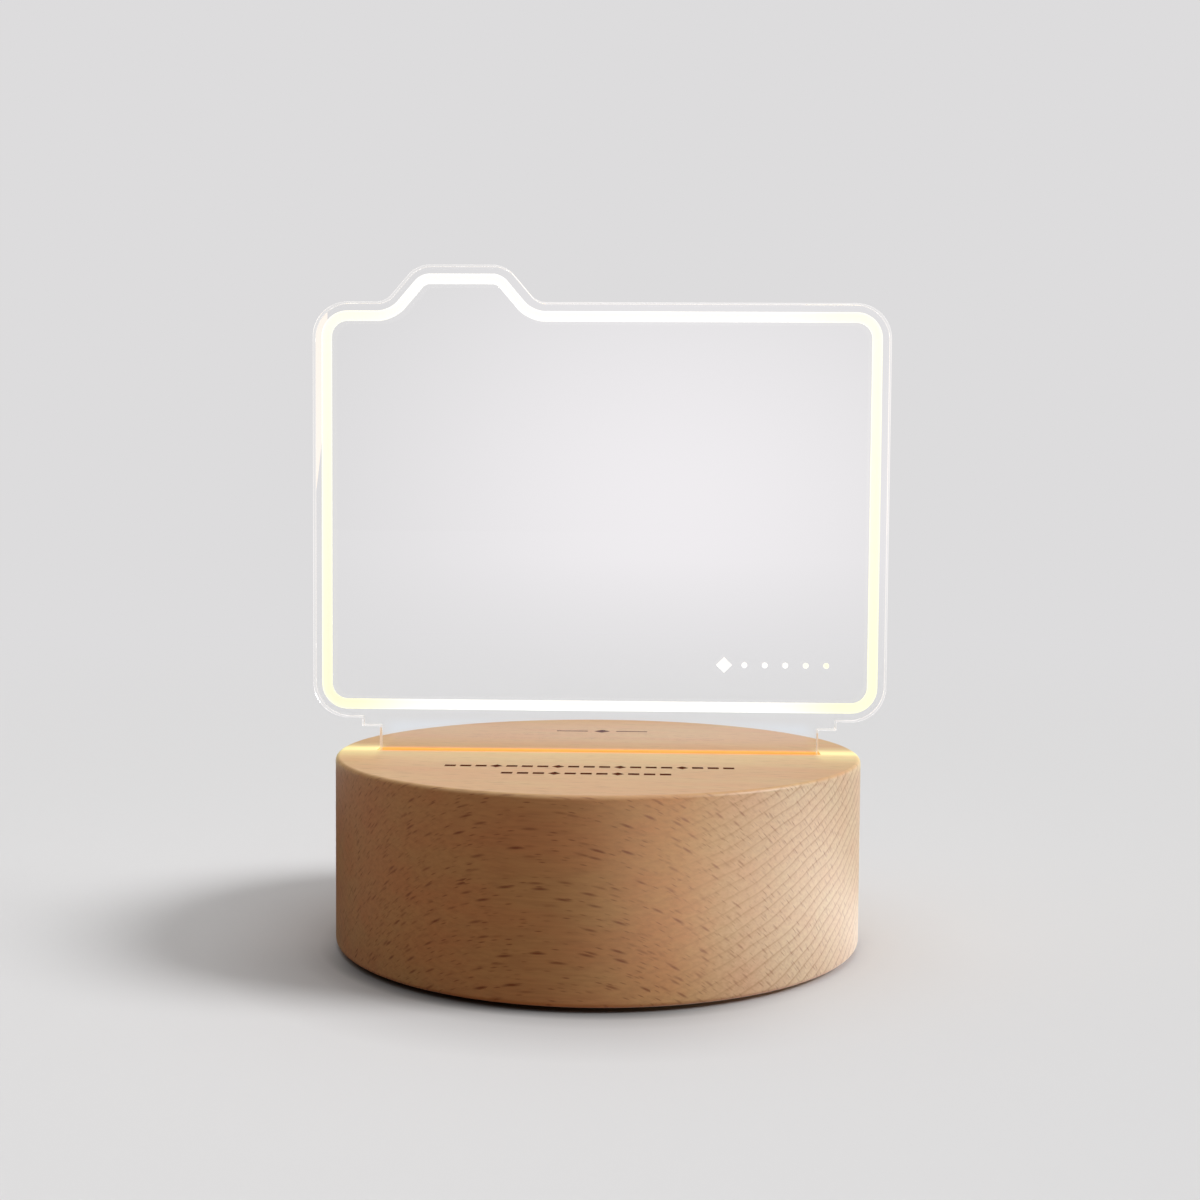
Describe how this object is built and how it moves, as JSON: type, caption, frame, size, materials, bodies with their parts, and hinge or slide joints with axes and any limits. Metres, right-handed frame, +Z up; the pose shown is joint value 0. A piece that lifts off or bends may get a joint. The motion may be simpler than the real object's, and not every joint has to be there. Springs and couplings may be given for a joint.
{
  "type": "led writing board",
  "caption": "Clear acrylic writing board with a lit engraved border, standing in a slot across a round beech base that holds the LEDs, battery, charging board and push switch.",
  "frame": {"origin": "middle of the footprint, at the level of the table that the feet stand on", "axes": "+X to the right along the board, seen from its engraved writing face; +Y back, towards the socket and button; +Z up"},
  "size_m": [0.11, 0.1, 0.1286],
  "materials": {
    "beech": "oiled, fine turned",
    "clear_acrylic": "clear cast sheet, polished edges",
    "white_circuit": "white solder mask",
    "green_circuit": "green solder mask",
    "led": "phosphor resin",
    "chip": "moulded epoxy",
    "capacitor": "fired ceramic",
    "white_plastic": "fine moulded",
    "black_plastic": "fine moulded",
    "grey_plastic": "fine moulded",
    "socket_steel": "plated, pressed",
    "screw_steel": "zinc plated",
    "battery_foil": "satin laminate foil",
    "foam": "double-sided foam tape",
    "foot_rubber": "matt",
    "red_wire": "soft sleeve",
    "black_wire": "soft sleeve"
  },
  "bodies": {
    "base": {"base_body": "beech", "led_board": "white_circuit", "led_01": "led", "led_02": "led", "led_03": "led", "led_04": "led", "led_05": "led", "led_06": "led", "led_07": "led", "led_08": "led", "led_09": "led", "led_10": "led", "led_11": "led", "led_12": "led", "led_resistor_1": "chip", "led_resistor_2": "chip", "led_resistor_3": "chip", "led_resistor_4": "chip", "led_holder": "white_plastic", "holder_screw_left": "screw_steel", "holder_screw_right": "screw_steel", "control_board": "green_circuit", "board_screw_1": "screw_steel", "board_screw_2": "screw_steel", "board_screw_3": "screw_steel", "board_screw_4": "screw_steel", "charge_chip": "chip", "driver_chip": "chip", "inductor": "black_plastic", "capacitor_1": "capacitor", "capacitor_2": "capacitor", "socket_shell": "socket_steel", "socket_core": "black_plastic", "switch_body": "black_plastic", "port_plate": "black_plastic", "battery_cell": "battery_foil", "battery_tape": "foam", "battery_socket": "white_plastic", "battery_plug": "white_plastic", "battery_wire_red": "red_wire", "battery_wire_black": "black_wire", "led_wire_red": "red_wire", "led_wire_black": "black_wire", "base_cover": "grey_plastic", "cover_screw_1": "screw_steel", "cover_screw_2": "screw_steel", "cover_screw_3": "screw_steel", "cover_screw_4": "screw_steel", "foot_1": "foot_rubber", "foot_2": "foot_rubber", "foot_3": "foot_rubber", "foot_4": "foot_rubber"},
    "board": {"acrylic_board": "clear_acrylic"},
    "button": {"button_cap": "white_plastic", "switch_plunger": "white_plastic"}
  },
  "joints": [
    {"name": "board_lift", "type": "slide", "parent": "base", "child": "board", "axis": [0, 0, 1], "range_m": [0, 0.012]},
    {"name": "button_press", "type": "slide", "parent": "base", "child": "button", "axis": [0, -1, 0], "range_m": [0, 0.0015], "stiffness_N_per_m": 1200}
  ]
}
